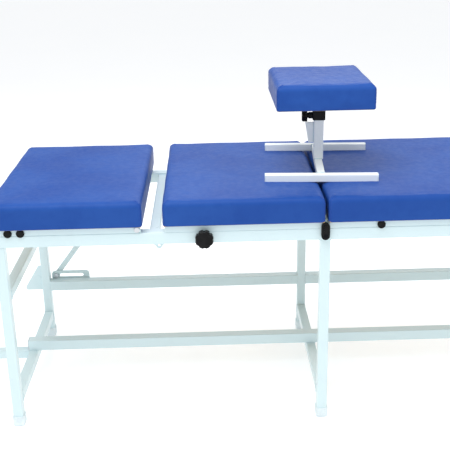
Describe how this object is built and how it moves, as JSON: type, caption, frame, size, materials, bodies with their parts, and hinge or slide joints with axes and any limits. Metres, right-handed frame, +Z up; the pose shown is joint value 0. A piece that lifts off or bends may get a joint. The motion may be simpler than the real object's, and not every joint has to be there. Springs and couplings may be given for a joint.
{
  "type": "sectional treatment couch with leg-rest stool",
  "caption": "Sectional treatment couch: padded head, middle and foot sections on a square-tube steel frame, with an adjustable leg-rest stool standing on it.",
  "frame": {"origin": "centre of the footprint on the floor, under the middle of the couch", "axes": "+X along the couch from the head end to the foot end, -Y towards the side with the clamp knob and the latch, +Z up"},
  "size_m": [2.13, 0.7258, 1.0753],
  "materials": {
    "frame_paint": "satin white enamel",
    "vinyl": "blue PVC-coated upholstery fabric, semi-gloss",
    "plywood": "sealed plywood",
    "white_plastic": "moulded white plastic",
    "cap_plastic": "moulded grey plastic",
    "black_plastic": "moulded black phenolic",
    "nylon": "turned black nylon",
    "zinc_steel": "zinc-plated steel"
  },
  "bodies": {
    "base_frame": {"near_rail": "frame_paint", "far_rail": "frame_paint", "rail_cross_bars": "frame_paint", "leg_head_near": "frame_paint", "leg_head_far": "frame_paint", "leg_centre_near": "frame_paint", "leg_centre_far": "frame_paint", "leg_foot_near": "frame_paint", "leg_foot_far": "frame_paint", "leg_shoes": "white_plastic", "lower_cross_bars": "frame_paint", "upper_cross_bar": "frame_paint", "central_stretcher": "frame_paint", "extension_tube": "frame_paint", "rear_stretchers": "frame_paint", "tube_end_caps": "cap_plastic", "prop_guide": "frame_paint", "end_gusset": "frame_paint", "hinge_ears": "frame_paint", "belt_lugs": "frame_paint", "middle_near_angle": "frame_paint", "middle_far_angle": "frame_paint", "middle_cross_angles": "frame_paint", "middle_board": "plywood", "middle_cushion": "vinyl", "latch_bolt": "zinc_steel"},
    "head_section": {"head_near_angle": "frame_paint", "head_far_angle": "frame_paint", "head_cross_angles": "frame_paint", "head_board": "plywood", "head_cushion": "vinyl", "hinge_pins": "zinc_steel", "head_bolts": "black_plastic", "prop_pivot_pin": "zinc_steel"},
    "prop": {"prop_strut": "frame_paint", "prop_foot_pin": "zinc_steel"},
    "foot_section": {"foot_near_angle": "frame_paint", "foot_far_angle": "frame_paint", "foot_cross_angles": "frame_paint", "foot_board": "plywood", "foot_cushion": "vinyl"},
    "front_roller_set": {"front_axle": "zinc_steel", "front_rollers": "nylon", "front_hub_caps": "black_plastic"},
    "rear_roller_set": {"rear_axle": "zinc_steel", "rear_rollers": "nylon", "rear_hub_caps": "black_plastic"},
    "latch": {"latch_lever": "black_plastic"},
    "clamp_knob": {"rail_knob": "black_plastic"},
    "stool_base": {"stool_base_bars": "frame_paint", "stool_cross_bar": "frame_paint", "stool_bar_caps": "white_plastic", "stool_outer_post": "frame_paint", "stool_gusset": "frame_paint", "stool_collar": "black_plastic"},
    "stool_top": {"stool_inner_post": "zinc_steel", "stool_board": "plywood", "stool_cushion": "vinyl"},
    "stool_clamp_knob": {"stool_knob": "black_plastic"}
  },
  "joints": [
    {"name": "head_tilt", "type": "hinge", "parent": "base_frame", "child": "head_section", "pos_m": [-0.461, 0, 0.679], "axis": [0, 1, 0], "range_deg": [0, 50]},
    {"name": "prop_swing", "type": "hinge", "parent": "head_section", "child": "prop", "pos_m": [-0.52, 0.3495, 0.679], "axis": [0, -1, 0], "range_deg": [0, 60]},
    {"name": "foot_slide", "type": "slide", "parent": "base_frame", "child": "foot_section", "axis": [1, 0, 0], "range_m": [0, 0.12]},
    {"name": "front_roll", "type": "hinge", "parent": "foot_section", "child": "front_roller_set", "pos_m": [0.284, 0, 0.6773], "axis": [0, 1, 0], "range_deg": [0, 770]},
    {"name": "rear_roll", "type": "hinge", "parent": "foot_section", "child": "rear_roller_set", "pos_m": [0.905, 0, 0.6773], "axis": [0, 1, 0], "range_deg": [0, 770]},
    {"name": "latch_turn", "type": "hinge", "parent": "base_frame", "child": "latch", "pos_m": [0.113, -0.3465, 0.647], "axis": [0, 1, 0], "range_deg": [-90, 0]},
    {"name": "clamp_knob_turn", "type": "hinge", "parent": "base_frame", "child": "clamp_knob", "pos_m": [-0.257, -0.35, 0.649], "axis": [0, -1, 0], "range_deg": [0, 720]},
    {"name": "stool_lift", "type": "slide", "parent": "base_frame", "child": "stool_base", "axis": [0, 0, 1], "range_m": [0, 0.35]},
    {"name": "stool_height", "type": "slide", "parent": "stool_base", "child": "stool_top", "axis": [0, 0, 1], "range_m": [-0.02, 0.08]},
    {"name": "stool_knob_turn", "type": "hinge", "parent": "stool_base", "child": "stool_clamp_knob", "pos_m": [0.08711, 0.00814, 0.9413], "axis": [-0.9976, 0.0698, 0], "range_deg": [0, 720]}
  ],
  "couplings": [
    {"joint": "prop_swing", "follows": "head_tilt", "ratio": 1.1719},
    {"joint": "front_roll", "follows": "foot_slide", "rad_per_m": 111.11},
    {"joint": "rear_roll", "follows": "foot_slide", "rad_per_m": 111.11}
  ]
}
